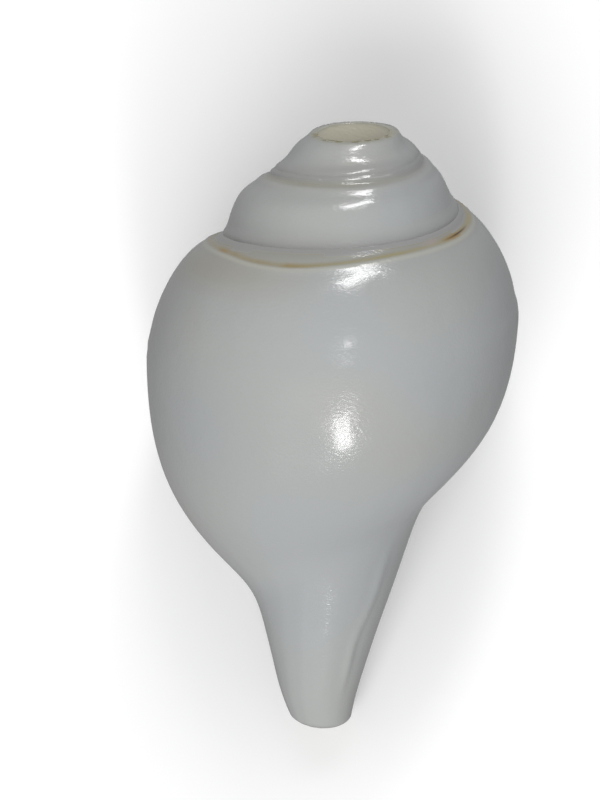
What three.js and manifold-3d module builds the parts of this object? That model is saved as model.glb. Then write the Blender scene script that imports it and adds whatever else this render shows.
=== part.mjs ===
// A blowing conch made from a chank shell: one solid, coiled to the right, with its apex ground off
// to a blow hole. It lies on its mouth, back up, with the apex towards +Y and the canal towards -Y.
//
// Every point of the shell is found from three numbers. A turn is counted along the coil: at turn 0
// the coil is at its widest on the left, at -0.25 on the back, at -0.5 on the right, and each whole
// turn less is one whorl nearer the apex. A height is measured down the axis, in mm from the point
// where the spire would end if it were not ground off. A radius is measured out from the axis.

import * as THREE from 'three';
import { ParametricGeometry } from 'three/addons/geometries/ParametricGeometry.js';
import { mergeVertices } from 'three/addons/utils/BufferGeometryUtils.js';
import Module from 'manifold-3d';

// The whorl, in mm at turn 0, with how fast each size grows along the coil.
const SUTURE_HEIGHT = 45.2;
const SUTURE_HEIGHT_GROWTH = 0.478;
const SUTURE_RADIUS = 33.1;
const SUTURE_RADIUS_GROWTH = 0.448;
const SUTURE_RADIUS_SLOWING = 0.047;
const SHOULDER_ROUNDNESS = 1.52;
const SHOULDER_SQUARENESS = 2.19;
const SHOULDER_SQUARENESS_GROWTH = 0.577;
const SHOULDER_SOFTNESS = 0.024;
const BASE_END_HEIGHT = 132;
const BASE_END_HEIGHT_GROWTH = 0.407;
const BASE_END_RADIUS = 20.5;
const BASE_END_RADIUS_GROWTH = 0.37;
const BASE_STEEPNESS = 2.83;
const BASE_TO_CANAL_BLEND = 7.3;

// The canal, a tapered tube that leans a little to one side of the axis, and hooks back at its end.
const TIP_HEIGHT = 173.1;
const CANAL_START_HEIGHT = 125;
const CANAL_START_RADIUS = 18.4;
const CANAL_END_RADIUS = 6.9;
const CANAL_BULGE = 2.1;
const CANAL_END_ROUNDING = 3.5;
const CANAL_LEAN = 4.9;
const CANAL_LEAN_TURN = -0.138;
const CANAL_LEAN_FROM = 84.6;
const CANAL_LEAN_TO = 149.8;
const CANAL_HOOK = 2.4;
const CANAL_HOOK_FROM = 158;

// The mouth, the pillar inside the coil, the wall and the hollow.
const LIP_TURN = 0.12;
const PILLAR_SHARE = 0.45;
const PILLAR_COVERED_BY_TURN = -0.6;
const INSIDE_GROWTH = 0.4;
const WALL = 4.5;
const WALL_GROWTH = 0.25;
const CANAL_WALL_SHARE = 0.6;
const GLAZE = 0.4;
const HOLLOW_TURNS = 2.2;
const HOLLOW_BASE_SHARE = 0.84;
const HOLLOW_SQUARENESS = 2.6;
const HOLLOW_CANAL_FROM_TURN = -0.35;
const THINNEST_HOLLOW = 1.2;

// The blow hole, flared to a shallow bowl at the rim, and the chamber behind it that opens into the
// hollow.
const APEX_HEIGHT = 3;
const CUT_HEIGHT = 17.1;
const CUT_SIDE_TILT = 4.6;
const CUT_BACK_TILT = 2.9;
const BLOW_HOLE_RADIUS = 6.6;
const BLOW_HOLE_ASIDE = 1;
const BOWL_RADIUS = 9;
const BOWL_DEPTH = 6;
const CHAMBER_RADIUS = 12;
const CHAMBER_WIDEST_DEPTH = 14;
const CHAMBER_DEPTH = 19;

// How the shell tips and rolls to rest on its mouth, in degrees.
const REST_TILT = 18.6;
const REST_ROLL = 10.8;

// How finely the curves are cut into facets.
const STEPS_PER_TURN = 32;
const OLDER_WHORLS = 3;
const SHOULDER_STEPS = 8;
const SHOULDER_CROWDING = 1.5;
const BASE_STEPS = 18;
const HOLLOW_SIDES = 24;
const BLOW_HOLE_SIDES = 24;
const OVERLAP = 1 / STEPS_PER_TURN;

const FULL_TURN = 2 * Math.PI;
const FIRST_TURN = LIP_TURN - 1;
const { clamp, degToRad, lerp, mapLinear, smoothstep } = THREE.MathUtils;

function grow(size, growth, turn) {
  return size * Math.exp(growth * turn);
}

// The suture, the line where each whorl meets the one before it.
function sutureHeight(turn) {
  return grow(SUTURE_HEIGHT, SUTURE_HEIGHT_GROWTH, turn);
}

function sutureRadius(turn) {
  return grow(SUTURE_RADIUS, SUTURE_RADIUS_GROWTH - SUTURE_RADIUS_SLOWING * turn, turn);
}

function baseEndHeight(turn) {
  return grow(BASE_END_HEIGHT, BASE_END_HEIGHT_GROWTH, turn);
}

// The canal's outer radius, before its end is rounded off.
function canalRadius(height) {
  const along = (height - CANAL_START_HEIGHT) / (TIP_HEIGHT - CANAL_START_HEIGHT);
  return lerp(CANAL_START_RADIUS, CANAL_END_RADIUS, along) + CANAL_BULGE * along * (1 - along);
}

// What lies inside the coil is smaller in each whorl before the last.
function insideShare(turn) {
  return grow(1, INSIDE_GROWTH, Math.min(turn - FIRST_TURN, 0));
}

// The pillar inside the coil, which the canal's wall covers on from the mouth.
function pillarRadius(turn, height) {
  const pillar = PILLAR_SHARE * canalRadius(height) * insideShare(turn);
  const covered = smoothstep(turn, FIRST_TURN, PILLAR_COVERED_BY_TURN);
  return lerp(pillar, canalRadius(height), covered);
}

function smoothLarger(first, second, blend) {
  return (first + second + Math.hypot(first - second, blend)) / 2;
}

function shoulderRadius(turn, height) {
  const top = sutureHeight(turn);
  const bottom = sutureHeight(turn + 1);
  const along = clamp((height - top) / (bottom - top), 0, 1);
  const squareness = grow(SHOULDER_SQUARENESS, SHOULDER_SQUARENESS_GROWTH, turn);
  const swell = (value) => (value + SHOULDER_SOFTNESS) ** (1 / squareness);
  const bulge = swell(1 - (1 - along) ** SHOULDER_ROUNDNESS);
  return mapLinear(bulge, swell(0), swell(1), sutureRadius(turn), sutureRadius(turn + 1));
}

function baseRadius(turn, height) {
  const top = sutureHeight(turn + 1);
  const along = (height - top) / (baseEndHeight(turn) - top);
  const end = grow(BASE_END_RADIUS, BASE_END_RADIUS_GROWTH, turn);
  return lerp(sutureRadius(turn + 1), end, along ** BASE_STEEPNESS);
}

// The outside of a whorl: its shoulder, then the base that falls away to the canal or the pillar.
function whorlRadius(turn, height) {
  if (height < sutureHeight(turn + 1)) return shoulderRadius(turn, height);
  const blend = BASE_TO_CANAL_BLEND * insideShare(turn);
  return smoothLarger(baseRadius(turn, height), pillarRadius(turn, height), blend);
}

// Left and right is X, back to front is Z, and the apex is towards +Y.
function place(turn, radius, height, target) {
  const angle = FULL_TURN * turn;
  target.set(-radius * Math.cos(angle), -height, -radius * Math.sin(angle));
}

// The canal leans: each point moves across the axis by an amount that depends on its height.
function lean(point) {
  const height = -point.y;
  const intoHook = clamp(mapLinear(height, CANAL_HOOK_FROM, TIP_HEIGHT, 0, 1), 0, 1);
  const amount = CANAL_LEAN * smoothstep(height, CANAL_LEAN_FROM, CANAL_LEAN_TO) - CANAL_HOOK * intoHook ** 2;
  const angle = FULL_TURN * CANAL_LEAN_TURN;
  point.x -= amount * Math.cos(angle);
  point.z -= amount * Math.sin(angle);
}

const wasm = await Module();
wasm.setup();

function toSolid(geometry) {
  geometry.deleteAttribute('normal');
  geometry.deleteAttribute('uv');
  const merged = mergeVertices(geometry, 1e-4);
  const corners = merged.index.array;
  const triangles = [];
  for (let i = 0; i < corners.length; i += 3) {
    const triangle = [corners[i], corners[i + 1], corners[i + 2]];
    if (new Set(triangle).size === 3) triangles.push(...triangle);
  }
  return new wasm.Manifold(new wasm.Mesh({
    numProp: 3,
    vertProperties: new Float32Array(merged.attributes.position.array),
    triVerts: new Uint32Array(triangles),
  }));
}

// A closed solid swept along the coil. The section gives its outline at each turn, as radius and
// height, and the middle is a point that sees the whole outline, for the two end faces.
function sweep(from, to, section, middle) {
  const rows = Math.round((to - from) * STEPS_PER_TURN);
  const sides = section(from).length;
  const point = (u, v, target) => {
    const row = Math.round(v * (rows + 2)) - 1;
    const turn = lerp(from, to, clamp(row, 0, rows) / rows);
    const isEnd = row < 0 || row > rows;
    const corner = Math.round((1 - u) * sides) % sides;
    const [radius, height] = isEnd ? middle(turn) : section(turn)[corner];
    place(turn, radius, height, target);
  };
  return toSolid(new ParametricGeometry(point, sides, rows + 2));
}

// One outline of the filled-in shell, from the axis at the apex down the spire whorl by whorl, and
// then down the base and the canal to the rounded tip.
function filledSection(turn) {
  const outline = [[0, APEX_HEIGHT]];
  for (let older = OLDER_WHORLS; older >= 0; older -= 1) {
    const whorl = turn - older;
    for (let i = 0; i < SHOULDER_STEPS; i += 1) {
      const along = (i / SHOULDER_STEPS) ** SHOULDER_CROWDING;
      const height = lerp(sutureHeight(whorl), sutureHeight(whorl + 1), along);
      outline.push([whorlRadius(whorl, height), height]);
    }
  }
  for (let i = 0; i < BASE_STEPS; i += 1) {
    const along = Math.sin((Math.PI / 2) * (i / BASE_STEPS));
    const height = lerp(sutureHeight(turn + 1), TIP_HEIGHT, along);
    const intoEnd = 1 - clamp((TIP_HEIGHT - height) / CANAL_END_ROUNDING, 0, 1);
    outline.push([whorlRadius(turn, height) * Math.sqrt(1 - intoEnd ** 2), height]);
  }
  outline.push([0, TIP_HEIGHT]);
  return outline;
}

// The filled-in shell is joined from the four quarters of its last turn, which overlap a little.
function filledShell() {
  const middle = () => [SUTURE_RADIUS / 3, (SUTURE_HEIGHT + BASE_END_HEIGHT) / 2];
  const quarters = [0, 1, 2, 3].map((i) => {
    const from = FIRST_TURN + i / 4 - OVERLAP;
    return sweep(from, FIRST_TURN + (i + 1) / 4, filledSection, middle);
  });
  return wasm.Manifold.union(quarters);
}

// One outline of the hollow, between the wall and the whorl before. Towards the lip it reaches down
// the canal and out of the tip.
function hollowSection(turn) {
  const wall = grow(WALL, WALL_GROWTH, turn);
  const top = sutureHeight(turn) + wall;
  const reach = smoothstep(turn, HOLLOW_CANAL_FROM_TURN, 0);
  const bottom = lerp(HOLLOW_BASE_SHARE * baseEndHeight(turn), TIP_HEIGHT + CANAL_END_ROUNDING, reach);
  const bow = (value) => Math.sign(value) * Math.abs(value) ** (2 / HOLLOW_SQUARENESS);
  const outline = [];
  for (let i = 0; i < HOLLOW_SIDES; i += 1) {
    const angle = FULL_TURN * (i / HOLLOW_SIDES);
    const height = lerp(top, bottom, (1 - bow(Math.cos(angle))) / 2);
    const wallShare = lerp(1, CANAL_WALL_SHARE, smoothstep(height, CANAL_LEAN_FROM, CANAL_LEAN_TO));
    const outer = whorlRadius(turn, height) - wall * wallShare;
    const inner = whorlRadius(turn - 1, height) + GLAZE;
    const halfWidth = Math.max(outer - inner, THINNEST_HOLLOW) / 2;
    outline.push([(outer + inner) / 2 + halfWidth * bow(Math.sin(angle)), height]);
  }
  return outline;
}

// The hollow runs one step past the lip, so that it opens the mouth.
function hollow() {
  const middle = (turn) => {
    const outline = hollowSection(turn);
    return [0, 1].map((axis) => outline.reduce((sum, corner) => sum + corner[axis], 0) / outline.length);
  };
  const end = LIP_TURN + OVERLAP;
  return sweep(end - HOLLOW_TURNS, end, hollowSection, middle);
}

// Puts what is ground or drilled away square to the cut face, which is not quite square to the axis.
function alignToCut(geometry) {
  const turned = geometry.rotateX(degToRad(CUT_BACK_TILT)).rotateZ(degToRad(CUT_SIDE_TILT));
  return turned.translate(0, -CUT_HEIGHT, 0);
}

function blowHole() {
  const profile = [
    [0, -CHAMBER_DEPTH],
    [CHAMBER_RADIUS / 2, -CHAMBER_DEPTH],
    [CHAMBER_RADIUS, -CHAMBER_WIDEST_DEPTH],
    [BLOW_HOLE_RADIUS, -BOWL_DEPTH],
    [(BLOW_HOLE_RADIUS + BOWL_RADIUS) / 2, -BOWL_DEPTH / 3],
    [BOWL_RADIUS, 0],
    [BOWL_RADIUS, BOWL_DEPTH],
    [0, BOWL_DEPTH],
  ].map(([radius, height]) => new THREE.Vector2(radius, height));
  const bore = new THREE.LatheGeometry(profile, BLOW_HOLE_SIDES);
  return toSolid(alignToCut(bore.translate(-BLOW_HOLE_ASIDE, 0, 0)));
}

function groundOffApex() {
  const size = 2 * SUTURE_RADIUS;
  const block = new THREE.BoxGeometry(size, size, size);
  return toSolid(alignToCut(block.translate(0, size / 2, 0)));
}

function shellGeometry() {
  const removed = wasm.Manifold.union([hollow(), groundOffApex(), blowHole()]);
  const { vertProperties, triVerts } = filledShell().subtract(removed).getMesh();
  const positions = new THREE.BufferAttribute(new Float32Array(vertProperties), 3);
  const point = new THREE.Vector3();
  for (let i = 0; i < positions.count; i += 1) {
    lean(point.fromBufferAttribute(positions, i));
    positions.setXYZ(i, point.x, point.y, point.z);
  }
  const geometry = new THREE.BufferGeometry();
  geometry.setAttribute('position', positions);
  geometry.setIndex(new THREE.BufferAttribute(new Uint32Array(triVerts), 1));
  geometry.computeVertexNormals();
  return geometry;
}

const polishedShell = new THREE.MeshStandardMaterial({ color: 0xdad7d3, roughness: 0.25, metalness: 0 });
const shell = new THREE.Mesh(shellGeometry(), polishedShell);
shell.name = 'shell';

// The origin is the middle of the box that the shell takes up, on the surface that it lies on.
const laidDown = new THREE.Group();
laidDown.add(shell);
laidDown.rotation.set(degToRad(REST_TILT), degToRad(REST_ROLL), 0);
const box = new THREE.Box3().setFromObject(laidDown, true);
const middle = box.getCenter(new THREE.Vector3());
laidDown.position.set(-middle.x, -middle.y, -box.min.z);

const object = new THREE.Group();
object.add(laidDown);
export default object;
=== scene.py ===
"""A blowing conch made from a chank shell: white, polished, coiled to the right, lying on its mouth."""

import math

import bmesh
import bpy
from mathutils import Matrix, Vector, noise


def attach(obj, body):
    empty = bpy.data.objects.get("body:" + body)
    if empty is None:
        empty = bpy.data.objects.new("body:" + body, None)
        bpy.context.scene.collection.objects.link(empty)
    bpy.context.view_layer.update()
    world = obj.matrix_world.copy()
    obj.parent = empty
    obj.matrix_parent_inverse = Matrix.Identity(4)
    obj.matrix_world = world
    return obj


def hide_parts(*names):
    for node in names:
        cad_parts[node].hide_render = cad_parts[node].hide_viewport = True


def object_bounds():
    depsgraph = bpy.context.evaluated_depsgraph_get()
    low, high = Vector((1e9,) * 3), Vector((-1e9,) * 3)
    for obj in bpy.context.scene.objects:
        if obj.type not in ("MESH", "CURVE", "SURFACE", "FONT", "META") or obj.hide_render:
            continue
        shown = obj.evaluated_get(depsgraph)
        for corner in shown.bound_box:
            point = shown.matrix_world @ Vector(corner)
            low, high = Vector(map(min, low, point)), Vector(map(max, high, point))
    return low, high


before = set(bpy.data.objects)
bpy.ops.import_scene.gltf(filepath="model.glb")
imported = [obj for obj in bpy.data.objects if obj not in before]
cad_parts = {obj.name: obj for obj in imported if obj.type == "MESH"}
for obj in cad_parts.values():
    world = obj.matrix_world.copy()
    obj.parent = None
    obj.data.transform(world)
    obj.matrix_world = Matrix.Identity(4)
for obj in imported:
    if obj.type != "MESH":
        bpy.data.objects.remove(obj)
cad_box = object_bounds()

# ---------------------------------------------------------------------------
# The coil, in millimetres as the shell grew: turns along the coil, heights down the axis from the
# point where the spire would end, and radii out from the axis. Turn 0 is the left side, -0.25 the
# back and -0.5 the right side.
# ---------------------------------------------------------------------------

SUTURE_HEIGHT, SUTURE_HEIGHT_GROWTH = 45.2, 0.478
SUTURE_RADIUS, SUTURE_RADIUS_GROWTH, SUTURE_RADIUS_SLOWING = 33.1, 0.448, 0.047
SHOULDER_ROUNDNESS, SHOULDER_SOFTNESS = 1.52, 0.024
SHOULDER_SQUARENESS, SHOULDER_SQUARENESS_GROWTH = 2.19, 0.577
BASE_END_HEIGHT, BASE_END_HEIGHT_GROWTH = 132.0, 0.407
BASE_END_RADIUS, BASE_END_RADIUS_GROWTH = 20.5, 0.37
BASE_STEEPNESS, BASE_TO_CANAL_BLEND = 2.83, 7.3

TIP_HEIGHT = 173.1
CANAL_START_HEIGHT, CANAL_START_RADIUS, CANAL_END_RADIUS, CANAL_BULGE = 125.0, 18.4, 6.9, 2.1
CANAL_END_ROUNDING = 3.5
CANAL_LEAN, CANAL_LEAN_TURN, CANAL_LEAN_FROM, CANAL_LEAN_TO = 4.9, -0.138, 84.6, 149.8
CANAL_HOOK, CANAL_HOOK_FROM = 2.4, 158.0

LIP_TURN = 0.12
FIRST_TURN = LIP_TURN - 1
PILLAR_SHARE, PILLAR_COVERED_BY_TURN, INSIDE_GROWTH = 0.45, -0.6, 0.4
WALL, WALL_GROWTH, CANAL_WALL_SHARE, GLAZE = 4.5, 0.25, 0.6, 0.4
HOLLOW_TURNS, HOLLOW_BASE_SHARE, HOLLOW_SQUARENESS = 2.2, 0.84, 2.6
HOLLOW_CANAL_FROM_TURN, THINNEST_HOLLOW = -0.35, 1.2
PLAITS, PLAIT_HEIGHT, PLAIT_WIDTH = (0.60, 0.66, 0.72), 1.6, 1.7

APEX_HEIGHT, CUT_HEIGHT = 3.0, 17.1
CUT_SIDE_TILT, CUT_BACK_TILT = math.radians(4.6), math.radians(2.9)
BLOW_HOLE_RADIUS, BLOW_HOLE_ASIDE = 6.6, 1.0
BOWL_RADIUS, BOWL_DEPTH, BOWL_CURVE, RIM_ROUNDING = 9.0, 6.0, 1.7, 0.4
CHAMBER_RADIUS, CHAMBER_WIDEST, CHAMBER_DEPTH = 12.0, 14.0, 19.0

# The finer shape, in mm. A ledge runs below each suture and ends in a groove and a raised lip, and
# the suture's own corner is drawn in and filleted. Above it the older whorls bulge out.
LEDGE, LEDGE_WIDENING, LEDGE_WIDEST_TURN, LEDGE_SPREAD = 2.1, 2.4, -0.175, 0.09
GROOVE_DEPTH, GROOVE_WIDTH = 0.35, 0.6
LEDGE_LIP, LEDGE_LIP_OFF, LEDGE_LIP_WIDTH = 0.35, 1.5, 0.9
# The last width is how far the shade painted into the suture corners reaches.
FILLET, FILLET_WIDTH, CORNER_SHADE_WIDTH = 1.2, 2.6, 3.2
DRAWN_IN, DRAWN_IN_BELOW, DRAWN_IN_ABOVE = 2.0, 3.5, 6.0
BULGE, BULGE_GROWTH, BULGE_ALONG, BULGE_WIDTH, BULGE_FADE_TURNS = 1.0, 0.45, 0.3, 0.2, 0.04
WORN_SMOOTH_TURN, WHOLE_SUTURE_TURN = -1.95, -1.6
PLAIN_BY_LIP, FULL_BY_LIP = 1.0, 6.0

# Easing of the widest line: how far above and below it the radius is averaged, and by what shares.
EASING, EASING_REACH, EASING_FADE_TURNS = 5.0, 9.0, 0.1
EASING_SHARES = {-1: 1, -0.5: 4, 0: 6, 0.5: 4, 1: 1}

# Long waves over the whole shell, growth lines across the coil, and the ridge along the canal.
WAVE, WAVE_SCALE = 0.35, 0.035
GROWTH_LINE, GROWTH_LINES_PER_TURN, GROWTH_LINE_RUN, GROWTH_LINE_LAYER = 0.06, 34, 0.02, 3.0
RIDGE, RIDGE_WIDTH, RIDGE_TOP_TURN, RIDGE_END_TURN = 0.4, 0.014, -0.369, -0.346
RIDGE_BEND_FROM, RIDGE_BEND_TO = 131, 147
RIDGE_STARTS, RIDGE_FULL, RIDGE_FADES, RIDGE_ENDS = 115, 127, 150, 162

# Softening of what was cut: how near an edge a point is softened, in mm, and how often.
LIP_SOFTENED, RIM_SOFTENED, TIP_SOFTENED, SOFTENING_ROUNDS = 1.2, 0.6, 4, 2

REST_TILT, REST_ROLL = math.radians(18.6), math.radians(10.8)

# How finely it is made.
OLDER_WHORLS = 3
SHOULDER_STEPS, SHOULDER_CROWDING = 30, 1.8
BASE_STEPS = 84
STEPS_PER_TURN = 150
LIP_ZONE, LIP_STEPS = 0.025, 14
HOLLOW_STEPS_PER_TURN, HOLLOW_SIDES = 100, 110
BOWL_STEPS, RIM_STEPS, CUTTER_SIDES = 16, 5, 72
PAST_LIP = 1 / 32
SHARP_ANGLE = math.radians(50)
MM = 0.001


def grow(size, growth, turn):
    return size * math.exp(growth * turn)


def mix(low, high, share):
    return low + (high - low) * share


def clamp(value):
    return min(max(value, 0.0), 1.0)


def smooth(value, start, end):
    share = clamp((value - start) / (end - start))
    return share * share * (3 - 2 * share)


def hump(value, middle, width):
    return math.exp(-(((value - middle) / width) ** 2))


def suture_height(turn):
    return grow(SUTURE_HEIGHT, SUTURE_HEIGHT_GROWTH, turn)


def suture_radius(turn):
    return grow(SUTURE_RADIUS, SUTURE_RADIUS_GROWTH - SUTURE_RADIUS_SLOWING * turn, turn)


def base_end_height(turn):
    return grow(BASE_END_HEIGHT, BASE_END_HEIGHT_GROWTH, turn)


def canal_radius(height):
    along = (height - CANAL_START_HEIGHT) / (TIP_HEIGHT - CANAL_START_HEIGHT)
    return mix(CANAL_START_RADIUS, CANAL_END_RADIUS, along) + CANAL_BULGE * along * (1 - along)


def inside_share(turn):
    return grow(1.0, INSIDE_GROWTH, min(turn - FIRST_TURN, 0.0))


def pillar_radius(turn, height):
    pillar = PILLAR_SHARE * canal_radius(height) * inside_share(turn)
    return mix(pillar, canal_radius(height), smooth(turn, FIRST_TURN, PILLAR_COVERED_BY_TURN))


def shoulder_radius(turn, height):
    top, bottom = suture_height(turn), suture_height(turn + 1)
    along = clamp((height - top) / (bottom - top))
    power = 1 / grow(SHOULDER_SQUARENESS, SHOULDER_SQUARENESS_GROWTH, turn)
    bulge = (1 - (1 - along) ** SHOULDER_ROUNDNESS + SHOULDER_SOFTNESS) ** power
    least, most = SHOULDER_SOFTNESS ** power, (1 + SHOULDER_SOFTNESS) ** power
    return mix(suture_radius(turn), suture_radius(turn + 1), (bulge - least) / (most - least))


def base_radius(turn, height):
    top = suture_height(turn + 1)
    along = (height - top) / (base_end_height(turn) - top)
    end = grow(BASE_END_RADIUS, BASE_END_RADIUS_GROWTH, turn)
    return mix(suture_radius(turn + 1), end, along ** BASE_STEEPNESS)


def whorl_radius(turn, height):
    if height < suture_height(turn + 1):
        return shoulder_radius(turn, height)
    base, pillar = base_radius(turn, height), pillar_radius(turn, height)
    blend = BASE_TO_CANAL_BLEND * inside_share(turn)
    return (base + pillar + math.hypot(base - pillar, blend)) / 2


def eased_radius(turn, height):
    """The last whorl's radius, evened out where the shoulder turns into the base."""
    off_widest = abs(height - suture_height(turn + 1))
    fade = smooth(turn, FIRST_TURN, FIRST_TURN + EASING_FADE_TURNS)
    spread = EASING * smooth(off_widest, EASING_REACH, 0) * fade
    if spread == 0:
        return whorl_radius(turn, height)
    radii = (
        share * whorl_radius(turn, height + step * spread)
        for step, share in EASING_SHARES.items()
    )
    return sum(radii) / sum(EASING_SHARES.values())


def distance_to_suture(suture_turn, radius, height):
    return math.hypot(radius - suture_radius(suture_turn), height - suture_height(suture_turn))


def distance_to_lip(turn, radius):
    return (LIP_TURN - turn) * 2 * math.pi * radius


def ledge_width(turn):
    """How far below its suture the groove runs."""
    return LEDGE + LEDGE_WIDENING * hump(turn, LEDGE_WIDEST_TURN, LEDGE_SPREAD)


def wall_thickness(turn, height):
    share = mix(1.0, CANAL_WALL_SHARE, smooth(height, CANAL_LEAN_FROM, CANAL_LEAN_TO))
    return grow(WALL, WALL_GROWTH, turn) * share


def lip_rounding(turn, radius, wall):
    """How far a face of the wall draws in towards the wall's middle as it comes round to the lip."""
    into_edge = 1 - clamp(distance_to_lip(turn, radius) / (wall / 2))
    return wall / 2 * (1 - math.sqrt(1 - into_edge ** 2))


def place(turn, radius, height):
    angle = 2 * math.pi * turn
    return Vector((-radius * math.cos(angle), -height, -radius * math.sin(angle)))


def whereabouts(point):
    """A point's turn, counted on the whorl whose outside is at its height, and its radius and height."""
    turn = math.atan2(-point.z, -point.x) / (2 * math.pi)
    if turn > LIP_TURN:
        turn -= 1
    height = -point.y
    while height < suture_height(turn):
        turn -= 1
    return turn, math.hypot(point.x, point.z), height


def lean(point):
    height = -point.y
    into_hook = clamp((height - CANAL_HOOK_FROM) / (TIP_HEIGHT - CANAL_HOOK_FROM))
    amount = CANAL_LEAN * smooth(height, CANAL_LEAN_FROM, CANAL_LEAN_TO) - CANAL_HOOK * into_hook ** 2
    angle = 2 * math.pi * CANAL_LEAN_TURN
    return point - amount * Vector((math.cos(angle), 0, math.sin(angle)))


# ---------------------------------------------------------------------------
# The shell, first filled in, then hollowed, and ground off at the apex.
# ---------------------------------------------------------------------------

def shaped_grid(rows, columns, shape):
    """A sheet of rows by columns faces, each corner moved to where shape(row, column) puts it."""
    sheet = bmesh.new()
    bmesh.ops.create_grid(sheet, x_segments=rows, y_segments=columns, size=1)
    for corner in sheet.verts:
        row = round((corner.co.x + 1) / 2 * rows)
        column = round((corner.co.y + 1) / 2 * columns)
        corner.co = shape(row, column)
    return sheet


def coil_turns(first, last, steps_per_turn):
    """Turns from first to last, even as far as the lip and crowded where the lip rounds over."""
    steps = round((LIP_TURN - LIP_ZONE - first) * steps_per_turn)
    turns = [mix(first, LIP_TURN - LIP_ZONE, i / steps) for i in range(steps)]
    turns += [LIP_TURN - LIP_ZONE * (1 - i / LIP_STEPS) ** 2 for i in range(LIP_STEPS + 1)]
    if last > LIP_TURN:
        turns.append(last)
    return turns


def outline_places():
    """Where the outline's points lie: how many whorls back and how far down the shoulder, or how far
    down the base and canal."""
    places = [("apex", 0, 0.0)]
    for older in range(OLDER_WHORLS, -1, -1):
        for i in range(SHOULDER_STEPS):
            places.append(("shoulder", older, (i / SHOULDER_STEPS) ** SHOULDER_CROWDING))
    for i in range(BASE_STEPS):
        places.append(("base", 0, math.sin(math.pi / 2 * i / BASE_STEPS)))
    places.append(("tip", 0, 1.0))
    return places


def outline_point(turn, part, older, along):
    if part == "apex":
        return 0.0, APEX_HEIGHT
    if part == "tip":
        return 0.0, TIP_HEIGHT
    whorl = turn - older
    if part == "shoulder":
        height = mix(suture_height(whorl), suture_height(whorl + 1), along)
        radius = eased_radius(turn, height) if older == 0 else shoulder_radius(whorl, height)
    else:
        height = mix(suture_height(turn + 1), TIP_HEIGHT, along)
        into_end = 1 - clamp((TIP_HEIGHT - height) / CANAL_END_ROUNDING)
        radius = eased_radius(turn, height) * math.sqrt(1 - into_end ** 2)
    if older == 0:
        rounded = radius - lip_rounding(turn, radius, wall_thickness(turn, height))
        radius = max(rounded, min(radius, whorl_radius(turn - 1, height)))
    return radius, height


def filled_shell():
    turns = coil_turns(FIRST_TURN, LIP_TURN, STEPS_PER_TURN)
    places = outline_places()

    def shape(row, column):
        radius, height = outline_point(turns[row], *places[column])
        return place(turns[row], radius, height)

    shell = shaped_grid(len(turns) - 1, len(places) - 1, shape)
    bmesh.ops.remove_doubles(shell, verts=shell.verts, dist=1e-3)
    close_seam(shell)
    return shell


def close_seam(shell):
    """Fills the open loops left along the seam, at the mouth and at the apex."""
    seam = [edge for edge in shell.edges if edge.is_boundary]
    bmesh.ops.triangle_fill(shell, edges=seam, use_beauty=True)
    bmesh.ops.recalc_face_normals(shell, faces=shell.faces)


def hollow_point(turn, angle):
    wall = grow(WALL, WALL_GROWTH, turn)
    reach = smooth(turn, HOLLOW_CANAL_FROM_TURN, 0.0)
    top = suture_height(turn) + wall
    bottom = mix(HOLLOW_BASE_SHARE * base_end_height(turn), TIP_HEIGHT + CANAL_END_ROUNDING, reach)
    across, down = (
        math.copysign(abs(value) ** (2 / HOLLOW_SQUARENESS), value)
        for value in (math.sin(angle), math.cos(angle))
    )
    height = mix(top, bottom, (1 - down) / 2)
    outside = whorl_radius(turn, height)
    wall = wall_thickness(turn, height)
    outer = outside - wall + lip_rounding(turn, outside, wall) + (turn > LIP_TURN) * 0.05
    inner = whorl_radius(turn - 1, height) + GLAZE + plaits(turn, height)
    half_width = max(outer - inner, THINNEST_HOLLOW) / 2
    return (outer + inner) / 2 + half_width * across, height


def plaits(turn, height):
    """The folds that wind down the pillar inside the mouth."""
    end = base_end_height(turn)
    fade = smooth(turn, LIP_TURN + 0.02, LIP_TURN - 0.06)
    return fade * sum(PLAIT_HEIGHT * hump(height, share * end, PLAIT_WIDTH) for share in PLAITS)


def hollow():
    first = LIP_TURN - HOLLOW_TURNS
    turns = coil_turns(first, LIP_TURN + PAST_LIP, HOLLOW_STEPS_PER_TURN)

    def shape(row, column):
        radius, height = hollow_point(turns[row], 2 * math.pi * column / HOLLOW_SIDES)
        return place(turns[row], radius, height)

    tube = shaped_grid(len(turns) - 1, HOLLOW_SIDES, shape)
    bmesh.ops.remove_doubles(tube, verts=tube.verts, dist=1e-4)
    close_seam(tube)
    return tube


def apex_cutter():
    """What grinding and drilling take away: the space above the cut, the bowl and the chamber."""
    cutter = bmesh.new()
    far = 2 * SUTURE_RADIUS
    depths = [BOWL_DEPTH * (1 - i / BOWL_STEPS) for i in range(BOWL_STEPS)]
    bowl = [(bowl_radius(depth), -depth) for depth in depths if depth > RIM_ROUNDING]
    for angle in [math.pi / 2 * i / RIM_STEPS for i in range(RIM_STEPS + 1)]:
        off = RIM_ROUNDING * (1 - math.cos(angle))
        bowl.append((bowl_radius(RIM_ROUNDING) + off, RIM_ROUNDING * (math.sin(angle) - 1)))
    profile = [(0, -CHAMBER_DEPTH), (CHAMBER_RADIUS / 2, -CHAMBER_DEPTH)]
    profile += [(CHAMBER_RADIUS, -CHAMBER_WIDEST)] + bowl + [(far, 0), (far, far), (0, far)]
    points = [cutter.verts.new((radius, up, 0)) for radius, up in profile]
    edges = [cutter.edges.new(pair) for pair in zip(points, points[1:])]
    bmesh.ops.spin(
        cutter, geom=points + edges, cent=(0, 0, 0), axis=(0, 1, 0), angle=2 * math.pi,
        steps=CUTTER_SIDES, use_merge=True,
    )
    bmesh.ops.remove_doubles(cutter, verts=cutter.verts, dist=1e-4)
    bmesh.ops.recalc_face_normals(cutter, faces=cutter.faces)
    bmesh.ops.transform(cutter, matrix=cut_place(), verts=cutter.verts)
    return cutter


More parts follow.
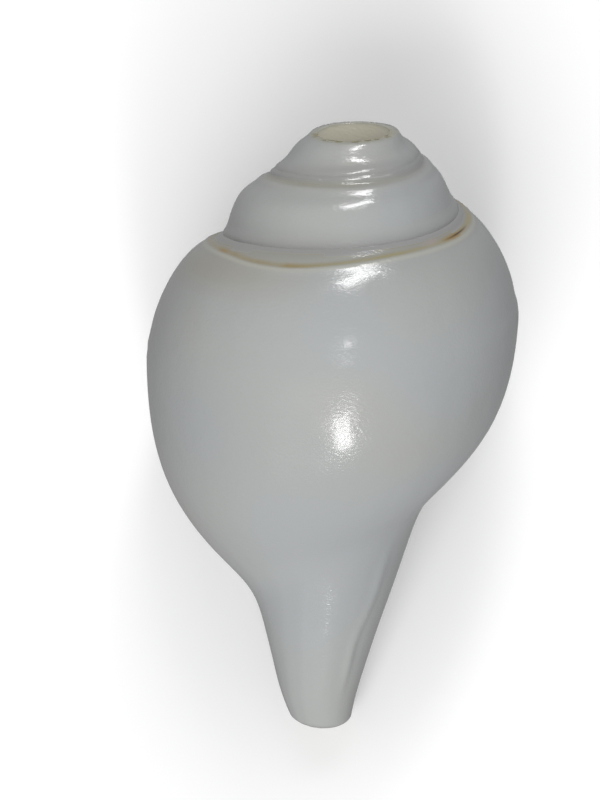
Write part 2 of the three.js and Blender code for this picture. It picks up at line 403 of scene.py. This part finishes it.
def bowl_radius(depth):
    flare = (1 - depth / BOWL_DEPTH) ** BOWL_CURVE
    return mix(BLOW_HOLE_RADIUS, BOWL_RADIUS, flare)


def cut_place():
    """Moves the middle of the blow hole, on the ground face, to its place on the shell."""
    tilt = Matrix.Rotation(CUT_SIDE_TILT, 4, "Z") @ Matrix.Rotation(CUT_BACK_TILT, 4, "X")
    aside = Matrix.Translation((-BLOW_HOLE_ASIDE, 0, 0))
    return Matrix.Translation((0, -CUT_HEIGHT, 0)) @ tilt @ aside


def kept_suture(turn):
    """One where a suture is whole, and nothing by the blow hole, where it is worn smooth."""
    return smooth(turn, WORN_SMOOTH_TURN, WHOLE_SUTURE_TURN)


def in_corner(turn, radius, height, below, above, growth=0.0):
    """One along the sutures, falling away over a width in mm below them, and another above them."""
    to_suture = distance_to_suture(turn, radius, height)
    amount = hump(to_suture, 0, below) * grow(1, growth, turn) * kept_suture(turn)
    if turn + 1 < LIP_TURN:
        to_next = distance_to_suture(turn + 1, radius, height)
        to_lip = distance_to_lip(turn + 1, radius)
        fade = smooth(to_lip, PLAIN_BY_LIP, FULL_BY_LIP) * kept_suture(turn + 1)
        amount = max(amount, hump(to_next, 0, above) * fade * grow(1, growth, turn + 1))
    return amount


def swell(turn, radius, height):
    """How far the older whorls bulge out over their sutures, less how far the sutures draw in."""
    top, bottom = suture_height(turn), suture_height(turn + 1)
    bulge = 0.0
    if turn < FIRST_TURN:
        along = clamp((height - top) / (bottom - top))
        bulge = BULGE * grow(1, BULGE_GROWTH, turn + 1) * hump(along, BULGE_ALONG, BULGE_WIDTH)
        bulge *= smooth(FIRST_TURN - turn, 0, BULGE_FADE_TURNS)
    drawn_in = in_corner(turn, radius, height, DRAWN_IN_BELOW, DRAWN_IN_ABOVE, BULGE_GROWTH)
    return bulge - DRAWN_IN * drawn_in


def canal_ridge(turn, height):
    middle = mix(RIDGE_TOP_TURN, RIDGE_END_TURN, smooth(height, RIDGE_BEND_FROM, RIDGE_BEND_TO))
    fade_in = smooth(height, RIDGE_STARTS, RIDGE_FULL)
    fade_out = smooth(height, RIDGE_ENDS, RIDGE_FADES)
    return RIDGE * hump(turn, middle, RIDGE_WIDTH) * fade_in * fade_out


def relief(turn, radius, height):
    """How far the surface stands proud of the plain coil, in mm."""
    from_suture = distance_to_suture(turn, radius, height)
    ledge = ledge_width(turn)
    groove = GROOVE_DEPTH * hump(from_suture, ledge, GROOVE_WIDTH)
    lip = LEDGE_LIP * hump(from_suture, ledge + LEDGE_LIP_OFF, LEDGE_LIP_WIDTH)
    fillet = FILLET * in_corner(turn, radius, height, FILLET_WIDTH, FILLET_WIDTH)
    wave = noise.noise(place(turn, radius, height) * WAVE_SCALE) * WAVE
    across = Vector((turn * GROWTH_LINES_PER_TURN, height * GROWTH_LINE_RUN, GROWTH_LINE_LAYER))
    growth_line = noise.noise(across) * GROWTH_LINE
    ridge = canal_ridge(turn, height)
    return fillet + (lip - groove) * kept_suture(turn) + wave + growth_line + ridge


def add_relief(shell):
    shell.normal_update()
    moves = []
    for corner in shell.verts:
        turn, radius, height = whereabouts(corner.co)
        if height < CUT_HEIGHT / 2 or radius < 1:
            continue
        outwards = Vector((corner.co.x, 0, corner.co.z)) / radius
        move = corner.normal * relief(turn, radius, height) + outwards * swell(turn, radius, height)
        to_lip = distance_to_lip(turn, radius)
        moves.append((corner, move * smooth(to_lip, PLAIN_BY_LIP, FULL_BY_LIP)))
    for corner, move in moves:
        corner.co += move


def to_object(shape, name):
    mesh = bpy.data.meshes.new(name)
    shape.to_mesh(mesh)
    shape.free()
    piece = bpy.data.objects.new(name, mesh)
    bpy.context.scene.collection.objects.link(piece)
    return piece


def cut_away(piece, *cutters):
    """Cuts each cutter from the piece, for good, and throws the cutters away."""
    for cutter in cutters:
        cut = piece.modifiers.new(cutter.name, "BOOLEAN")
        cut.operation = "DIFFERENCE"
        cut.solver = "MANIFOLD"
        cut.object = cutter
    bpy.context.view_layer.update()
    whole = piece.evaluated_get(bpy.context.evaluated_depsgraph_get())
    mesh = bpy.data.meshes.new_from_object(whole)
    piece.modifiers.clear()
    piece.data = mesh
    for cutter in cutters:
        bpy.data.objects.remove(cutter)


def soften_edges(shell):
    """Rounds the ground rim, the lip and the canal's end a little, where they were cut sharp."""
    to_cut = cut_place().inverted()
    near = []
    for corner in shell.verts:
        turn, radius, height = whereabouts(corner.co)
        off_face = abs((to_cut @ corner.co).y)
        to_lip = abs((LIP_TURN - turn + 0.5) % 1 - 0.5) * 2 * math.pi * radius
        outside = eased_radius(turn, height)
        by_lip = to_lip < LIP_SOFTENED and height > suture_height(LIP_TURN) - 2
        by_tip = height > TIP_HEIGHT - TIP_SOFTENED and radius < outside
        if by_lip or by_tip or off_face < RIM_SOFTENED:
            near.append(corner)
    for _ in range(SOFTENING_ROUNDS):
        bmesh.ops.smooth_vert(
            shell, verts=near, factor=0.5, use_axis_x=True, use_axis_y=True, use_axis_z=True
        )


def mark_surface(mesh):
    """Writes on each point what the finish needs: its turn, its distances below the suture and below
    the groove in mm, and how far it is in a corner (for the painted shade), inside, on the ground face
    or on the rim."""
    names = ("turn", "from_suture", "from_groove", "corner", "inside", "ground", "rim")
    marks = {name: [] for name in names}
    to_cut = cut_place().inverted()
    for vertex in mesh.vertices:
        turn, radius, height = whereabouts(vertex.co)
        wall = wall_thickness(turn, height)
        at_cut = to_cut @ vertex.co
        off_face = abs(at_cut.y)
        off_rim = abs(math.hypot(at_cut.x, at_cut.z) - BOWL_RADIUS)
        on_back = smooth(at_cut.z, -3, 5)
        from_suture = distance_to_suture(turn, radius, height)
        marks["turn"].append(turn)
        marks["from_suture"].append(from_suture)
        marks["from_groove"].append(from_suture - ledge_width(turn))
        # How deep in a suture corner the point lies, for the shade painted there.
        marks["corner"].append(in_corner(turn, radius, height, CORNER_SHADE_WIDTH, CORNER_SHADE_WIDTH))
        marks["inside"].append(smooth(whorl_radius(turn, height) - radius, 0.25 * wall, 0.8 * wall))
        marks["ground"].append(smooth(off_face, 0.5, 0.1))
        marks["rim"].append(smooth(off_rim, 2.2, 0.3) * smooth(off_face, 2.0, 0.3) * on_back)
    for name, values in marks.items():
        mesh.attributes.new(name, "FLOAT", "POINT").data.foreach_set("value", values)


def rest_on_mouth(mesh):
    """Leans the canal, lays the shell down and fits it to the middle of the frame's box, in metres."""
    turned = Matrix.Rotation(REST_TILT, 4, "X") @ Matrix.Rotation(REST_ROLL, 4, "Y")
    for vertex in mesh.vertices:
        vertex.co = turned @ lean(vertex.co)
    sides = [[vertex.co[axis] * MM for vertex in mesh.vertices] for axis in range(3)]
    lowest, highest = [min(side) for side in sides], [max(side) for side in sides]
    room = [high - low for low, high in zip(*cad_box)]
    share = min(r / (h - l) for r, l, h in zip(room, lowest, highest))
    middle = [(low + high) / 2 for low, high in zip(lowest, highest)]
    target = [(low + high) / 2 for low, high in zip(*cad_box)]
    shift = Vector((middle[0], middle[1], lowest[2]))
    settled = Matrix.Translation((target[0], target[1], cad_box[0][2]))
    settled = settled @ Matrix.Scale(share, 4) @ Matrix.Translation(-shift) @ Matrix.Scale(MM, 4)
    mesh.transform(settled)
    return settled @ turned


def make_shell():
    filled = filled_shell()
    add_relief(filled)
    piece = to_object(filled, "conch_shell")
    cut_away(piece, to_object(hollow(), "hollow"), to_object(apex_cutter(), "apex"))
    edit = bmesh.new()
    edit.from_mesh(piece.data)
    bmesh.ops.remove_doubles(edit, verts=edit.verts, dist=0.01)
    soften_edges(edit)
    edit.to_mesh(piece.data)
    edit.free()
    mark_surface(piece.data)
    to_row = rest_on_mouth(piece.data)
    piece.data.shade_smooth()
    piece.data.set_sharp_from_angle(angle=SHARP_ANGLE)
    return piece, to_row


# ---------------------------------------------------------------------------
# The finish.
# ---------------------------------------------------------------------------

def node(tree, kind, **settings):
    made = tree.nodes.new(kind)
    for name, value in settings.items():
        setattr(made, name, value)
    return made


def wire(tree, source, target):
    """Links an output to an input, or sets the input where the source is a plain value."""
    if isinstance(source, bpy.types.NodeSocket):
        tree.links.new(source, target)
    else:
        target.default_value = source


def attribute(tree, name):
    return node(tree, "ShaderNodeAttribute", attribute_name=name).outputs["Fac"]


def maths(tree, operation, first, second=0.0, third=0.0):
    made = node(tree, "ShaderNodeMath", operation=operation)
    for source, target in zip((first, second, third), made.inputs):
        wire(tree, source, target)
    return made.outputs[0]


def times(tree, first, second):
    return maths(tree, "MULTIPLY", first, second)


def ramp_between(tree, value, start, end, low=0.0, high=1.0):
    """A value brought from start..end to low..high, smoothly and held at the ends."""
    made = node(tree, "ShaderNodeMapRange", interpolation_type="SMOOTHSTEP")
    for source, target in zip((value, start, end, low, high), made.inputs):
        wire(tree, source, target)
    return made.outputs[0]


def band(tree, value, middle, width):
    """One at the middle, falling to nothing at width away on either side."""
    off = maths(tree, "ABSOLUTE", maths(tree, "SUBTRACT", value, middle))
    return ramp_between(tree, off, width, 0.0)


def mottle(tree, place_on, size, detail=2.0, offset=(0, 0, 0), stretch=(1, 1, 1)):
    """Soft noise whose blotches are about size metres across."""
    mapping = node(tree, "ShaderNodeMapping")
    mapping.inputs["Location"].default_value = offset
    mapping.inputs["Scale"].default_value = stretch
    tree.links.new(place_on, mapping.inputs["Vector"])
    made = node(tree, "ShaderNodeTexNoise")
    tree.links.new(mapping.outputs[0], made.inputs["Vector"])
    made.inputs["Scale"].default_value = 1 / size
    made.inputs["Detail"].default_value = detail
    return made.outputs["Fac"]


def tint(tree, under, colour, amount, strength=1.0):
    """Lays a colour over another by an amount, at up to a strength."""
    made = node(tree, "ShaderNodeMix", data_type="RGBA", clamp_factor=True)
    wire(tree, amount if strength == 1.0 else times(tree, amount, strength), made.inputs["Factor"])
    wire(tree, under, made.inputs["A"])
    wire(tree, colour, made.inputs["B"])
    return made.outputs["Result"]


BODY_GREY = (0.385, 0.395, 0.388, 1)
COOL_PATCH = (0.37, 0.395, 0.44, 1)
CREAM_PATCH = (0.42, 0.41, 0.355, 1)
# Painted shade: the grey that darkens the suture corners.
CORNER_SHADE_GREY = (0.24, 0.235, 0.225, 1)
TAN_TINT = (0.33, 0.29, 0.21, 1)
STAIN_YELLOW = (0.33, 0.29, 0.15, 1)
STAIN_OCHRE = (0.30, 0.19, 0.06, 1)
CRACK_BROWN = (0.07, 0.035, 0.015, 1)
# Painted highlight: the paler colour laid along the raised lip below the groove.
LIP_HIGHLIGHT_PALE = (0.47, 0.47, 0.41, 1)
PINK_NOTCH = (0.40, 0.33, 0.31, 1)
GROUND_GREY = (0.36, 0.36, 0.32, 1)
INSIDE_CREAM = (0.60, 0.57, 0.45, 1)
PORE_GREEN = (0.22, 0.18, 0.02, 1)

# Polish marks and pores, in metres.
RIPPLE_SIZE, RIPPLE_HEIGHT = 0.0007, 0.00007
WAVE_SIZE, WAVE_HEIGHT = 0.006, 0.00012
THREAD_HEIGHT, THREAD_STEP = 0.000004, 7.0
PORES_PER_METRE, PORE_DEPTH = 480, 0.0003


def body_colour(tree, here, turn, from_suture):
    """Grey-white with faint cool and cream patches, and a tan cast on the left shoulder."""
    cool = ramp_between(tree, mottle(tree, here, 0.05, 1.0, (0.3, 0.1, 0.0)), 0.42, 0.62)
    warm = ramp_between(tree, mottle(tree, here, 0.035, 1.0, (1.7, 0.4, 0.2)), 0.5, 0.7)
    colour = tint(tree, BODY_GREY, COOL_PATCH, cool, 0.3)
    colour = tint(tree, colour, CREAM_PATCH, warm, 0.2)
    left = band(tree, turn, -0.08, 0.16)
    shoulder = band(tree, from_suture, 8.0, 9.0)
    return tint(tree, colour, TAN_TINT, times(tree, left, shoulder), 0.4)


def suture_stain(tree, colour, here, turn, from_groove):
    """Old skin left in the groove under the last whorls' sutures, worst at the two sides, and a painted
    highlight along the raised lip below the groove.
    """
    uneven = mottle(tree, here, 0.009, 2.0, (0.0, 0.6, 0.9))
    older = ramp_between(tree, turn, -1.7, -1.1, 0.0, 0.35)
    share = maths(tree, "ADD", older, ramp_between(tree, turn, -0.95, -0.8, 0.0, 0.65))
    thick = ramp_between(tree, uneven, 0.3, 0.65, 0.55, 1.0)
    line = times(tree, times(tree, band(tree, from_groove, 0.0, 1.6), thick), share)
    on_ledge = ramp_between(tree, from_groove, 0.8, -1.6)
    colour = tint(tree, colour, STAIN_YELLOW, times(tree, on_ledge, share), 0.12)
    colour = tint(tree, colour, STAIN_YELLOW, line, 0.9)
    sides = maths(tree, "ADD", band(tree, turn, -0.11, 0.13), band(tree, turn, -0.41, 0.06))
    ochre = ramp_between(tree, uneven, 0.42, 0.6, 0.45, 1.0)
    colour = tint(tree, colour, STAIN_OCHRE, times(tree, times(tree, ochre, line), sides))
    # Painted highlight: the raised lip below the groove is painted paler, as where it catches the light.
    lip_highlight = times(tree, band(tree, from_groove, 1.6, 1.0), share)
    colour = tint(tree, colour, LIP_HIGHLIGHT_PALE, lip_highlight, 0.6)
    notch = times(tree, band(tree, turn, -0.36, 0.022), on_ledge)
    colour = tint(tree, colour, PINK_NOTCH, notch, 0.6)
    crack = times(tree, band(tree, from_groove, 0.0, 0.5), band(tree, turn, -0.415, 0.045))
    return tint(tree, colour, CRACK_BROWN, crack)


def rim_pores(tree, here, rim):
    """The shell's open pores, cut through where the rim of the blow hole was ground."""
    pores = node(tree, "ShaderNodeTexVoronoi")
    pores.inputs["Scale"].default_value = PORES_PER_METRE
    tree.links.new(here, pores.inputs["Vector"])
    return times(tree, ramp_between(tree, pores.outputs["Distance"], 0.55, 0.3), rim)


def polish_height(tree, here, turn, from_suture, wave, pore):
    """Hand polish: small ripples, broader waves, threads on the young whorls, and the pores."""
    ripple = mottle(tree, here, RIPPLE_SIZE, 2.0, (0, 0, 0), (0.7, 1.2, 1.0))
    threads = maths(tree, "SINE", times(tree, from_suture, THREAD_STEP))
    young_threads = times(tree, threads, ramp_between(tree, turn, -1.1, -1.5))
    height = times(tree, ripple, RIPPLE_HEIGHT)
    height = maths(tree, "MULTIPLY_ADD", wave, WAVE_HEIGHT, height)
    height = maths(tree, "MULTIPLY_ADD", young_threads, THREAD_HEIGHT, height)
    return maths(tree, "MULTIPLY_ADD", pore, -PORE_DEPTH, height)


def polished_shell():
    material = bpy.data.materials.new("polished_shell")
    material.use_nodes = True
    tree = material.node_tree
    surface = tree.nodes["Principled BSDF"]
    here = node(tree, "ShaderNodeTexCoord").outputs["Object"]
    turn, from_suture, from_groove = (
        attribute(tree, name) for name in ("turn", "from_suture", "from_groove")
    )
    corner, inside, ground, rim = (
        attribute(tree, name) for name in ("corner", "inside", "ground", "rim")
    )
    pore = rim_pores(tree, here, rim)
    wave = mottle(tree, here, WAVE_SIZE, 1.0, (0.2, 0.0, 0.5))

    colour = body_colour(tree, here, turn, from_suture)
    # Painted shade: the suture corners are darkened in colour, where shade falls in them.
    colour = tint(tree, colour, CORNER_SHADE_GREY, corner, 0.5)
    colour = suture_stain(tree, colour, here, turn, from_groove)
    colour = tint(tree, colour, INSIDE_CREAM, inside, 0.8)
    colour = tint(tree, colour, GROUND_GREY, ground, 0.7)
    colour = tint(tree, colour, STAIN_YELLOW, rim, 0.5)
    colour = tint(tree, colour, PORE_GREEN, pore)
    tree.links.new(colour, surface.inputs["Base Color"])

    bump = node(tree, "ShaderNodeBump")
    bump.inputs["Distance"].default_value = 1.0
    height = polish_height(tree, here, turn, from_suture, wave, pore)
    tree.links.new(height, bump.inputs["Height"])
    tree.links.new(bump.outputs[0], surface.inputs["Normal"])
    tree.links.new(ramp_between(tree, wave, 0.3, 0.7, 0.16, 0.22), surface.inputs["Roughness"])
    surface.inputs["IOR"].default_value = 1.53
    surface.inputs["Coat Weight"].default_value = 0.4
    surface.inputs["Coat Roughness"].default_value = 0.08
    return material


def plain_paper():
    material = bpy.data.materials.new("plain_paper")
    material.use_nodes = True
    surface = material.node_tree.nodes["Principled BSDF"]
    surface.inputs["Base Color"].default_value = (0.93, 0.93, 0.93, 1)
    surface.inputs["Roughness"].default_value = 0.9
    surface.inputs["Specular IOR Level"].default_value = 0.1
    return material


# ---------------------------------------------------------------------------
# The setting: camera, lights and floor. The view is turned from the shell's own frame, in mm and
# degrees, so the camera keeps its place on the shell.
# ---------------------------------------------------------------------------

CAMERA_DISTANCE, CAMERA_ASIDE, CAMERA_BELOW = 700.0, -14.8, -81.9
VIEW_PITCH, VIEW_SPIN = math.radians(17.08), math.radians(2.54)
CAMERA_LENS = 129.9
WORLD_LIGHT = 0.29


def view_turn():
    """Turns directions in the shell's own frame into the view: right, up and towards the camera."""
    return Matrix.Rotation(-VIEW_SPIN, 4, "Z") @ Matrix.Rotation(VIEW_PITCH, 4, "X")


def add_camera(to_row):
    camera = bpy.data.objects.new("camera", bpy.data.cameras.new("camera"))
    bpy.context.scene.collection.objects.link(camera)
    camera.data.lens = CAMERA_LENS
    camera.data.sensor_width = 36
    camera.data.clip_end = 20
    to_shell = view_turn().inverted()
    place_on = to_row @ to_shell @ Vector((CAMERA_ASIDE, CAMERA_BELOW, CAMERA_DISTANCE))
    facing = (to_row @ to_shell).to_quaternion()
    camera.matrix_world = Matrix.Translation(place_on) @ facing.to_matrix().to_4x4()
    bpy.context.scene.camera = camera


def add_light(name, toward, distance, size, radiance, middle, turned=0.0, in_gloss=True):
    """A soft light with two sides in metres, a distance in metres from the middle, and facing it."""
    light = bpy.data.lights.new(name, "AREA")
    light.shape = "RECTANGLE"
    light.size, light.size_y = size
    light.energy = math.pi * size[0] * size[1] * radiance
    lamp = bpy.data.objects.new(name, light)
    toward = Vector(toward).normalized()
    facing = toward.to_track_quat("Z", "Y") @ Matrix.Rotation(turned, 3, "Z").to_quaternion()
    lamp.location = middle + toward * distance
    lamp.rotation_euler = facing.to_euler()
    lamp.visible_glossy = in_gloss
    bpy.context.scene.collection.objects.link(lamp)


def add_setting():
    floor = bmesh.new()
    bmesh.ops.create_grid(floor, x_segments=1, y_segments=1, size=3)
    floor = to_object(floor, "floor")
    floor.data.materials.append(plain_paper())
    # The floor is left out of the shell's reflections and throws no light back on it.
    floor.visible_glossy = False
    floor.visible_diffuse = False
    world = bpy.data.worlds.new("studio")
    world.use_nodes = True
    world.node_tree.nodes["Background"].inputs["Color"].default_value = (1, 1, 1, 1)
    world.node_tree.nodes["Background"].inputs["Strength"].default_value = WORLD_LIGHT
    bpy.context.scene.world = world
    bpy.context.scene.view_settings.view_transform = "Standard"
    middle = Vector((0, 0, 0.05))
    add_light("near fill", (0.03, -0.75, 0.66), 1.6, (1.4, 1.4), 3.5, middle, in_gloss=False)
    add_light("far fill", (0.03, 0.8, 0.6), 1.6, (1.0, 1.0), 2.4, middle, in_gloss=False)
    add_light("far window", (0.10, 0.82, 0.56), 1.0, (0.15, 0.42), 14, middle, math.radians(-25))
    add_light("near window", (0.268, -0.761, 0.591), 1.0, (0.14, 0.30), 12, middle)
    add_light("small lamp", (0.215, -0.02, 0.976), 1.0, (0.08, 0.08), 12, middle)


shell, to_row = make_shell()
shell.data.materials.clear()
shell.data.materials.append(polished_shell())
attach(shell, "root")
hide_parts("shell")
add_camera(to_row)
add_setting()
